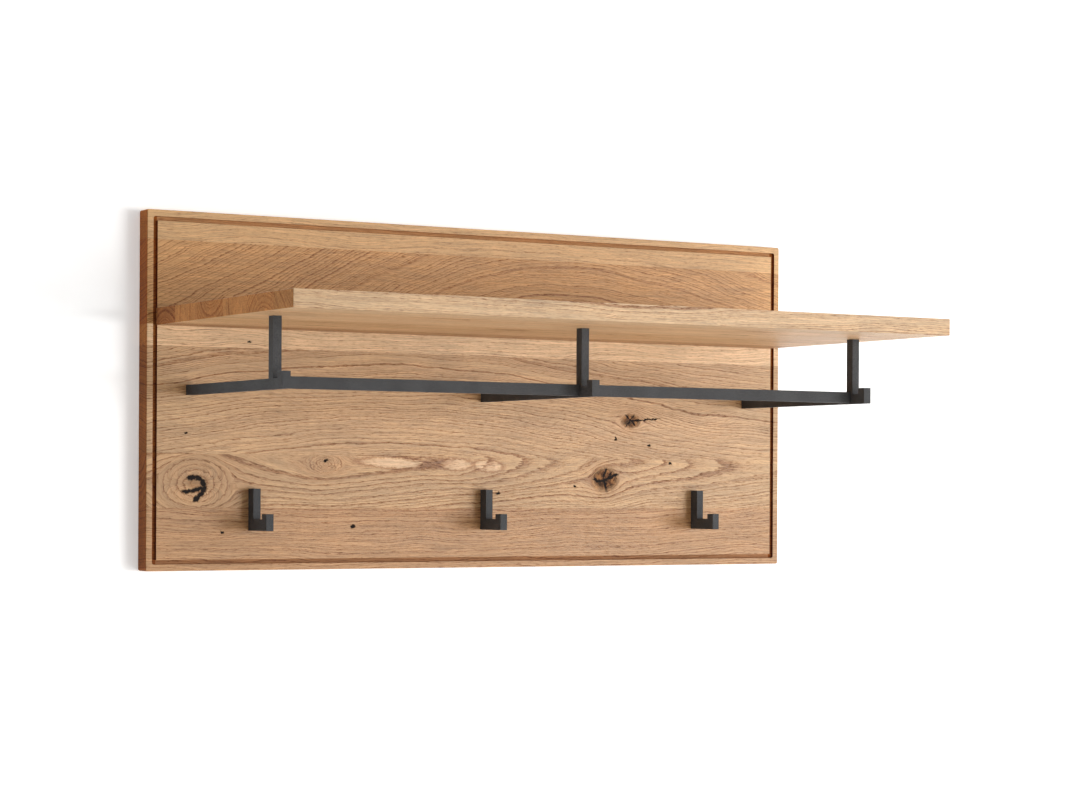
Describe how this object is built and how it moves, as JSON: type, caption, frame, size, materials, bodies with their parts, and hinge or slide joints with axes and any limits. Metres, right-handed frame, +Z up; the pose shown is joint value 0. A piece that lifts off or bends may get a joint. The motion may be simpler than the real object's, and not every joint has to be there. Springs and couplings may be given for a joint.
{
  "type": "wall hook rack",
  "caption": "Wall hook rack: grooved oak back panel with an oak shelf, a clothes rail on flat-bar brackets below it, and J-shaped coat hooks along the bottom.",
  "frame": {"origin": "on the panel's back, midway between the two hanging points, 60 mm below the panel's top edge", "axes": "+X to the right along the wall as seen from the room, +Y into the wall, +Z up; the shelf and hooks stand out along -Y"},
  "size_m": [1.07, 0.466, 0.5],
  "materials": {
    "oak": "solid wild oak, brushed and matt oiled, with filled knots",
    "black_powder_coat": "steel bar with a fine matt black powder coat",
    "zinc_steel": "zinc-plated steel",
    "beech_dowel": "plain turned beech"
  },
  "bodies": {
    "root": {"back_panel": "oak", "shelf_board": "oak", "left_arm": "black_powder_coat", "left_post": "black_powder_coat", "left_arm_lip": "black_powder_coat", "hook_left": "black_powder_coat", "middle_arm": "black_powder_coat", "middle_post": "black_powder_coat", "middle_arm_lip": "black_powder_coat", "hook_middle": "black_powder_coat", "right_arm": "black_powder_coat", "right_post": "black_powder_coat", "right_arm_lip": "black_powder_coat", "hook_right": "black_powder_coat", "rail_left": "black_powder_coat", "rail_right": "black_powder_coat", "hanger_plate_left": "zinc_steel", "hanger_plate_right": "zinc_steel", "arm_screw_left": "zinc_steel", "post_stud_left": "zinc_steel", "rail_pin_left": "zinc_steel", "hook_screw_left_lower": "zinc_steel", "hook_screw_left_upper": "zinc_steel", "arm_screw_middle": "zinc_steel", "post_stud_middle": "zinc_steel", "rail_pin_middle": "zinc_steel", "hook_screw_middle_lower": "zinc_steel", "hook_screw_middle_upper": "zinc_steel", "arm_screw_right": "zinc_steel", "post_stud_right": "zinc_steel", "rail_pin_right": "zinc_steel", "hook_screw_right_lower": "zinc_steel", "hook_screw_right_upper": "zinc_steel", "shelf_screw_1": "zinc_steel", "shelf_screw_2": "zinc_steel", "shelf_screw_3": "zinc_steel", "shelf_screw_4": "zinc_steel", "plate_screw_left_outer": "zinc_steel", "plate_screw_left_inner": "zinc_steel", "plate_screw_right_outer": "zinc_steel", "plate_screw_right_inner": "zinc_steel", "shelf_dowel_1": "beech_dowel", "shelf_dowel_2": "beech_dowel", "shelf_dowel_3": "beech_dowel", "shelf_dowel_4": "beech_dowel"}
  },
  "joints": []
}
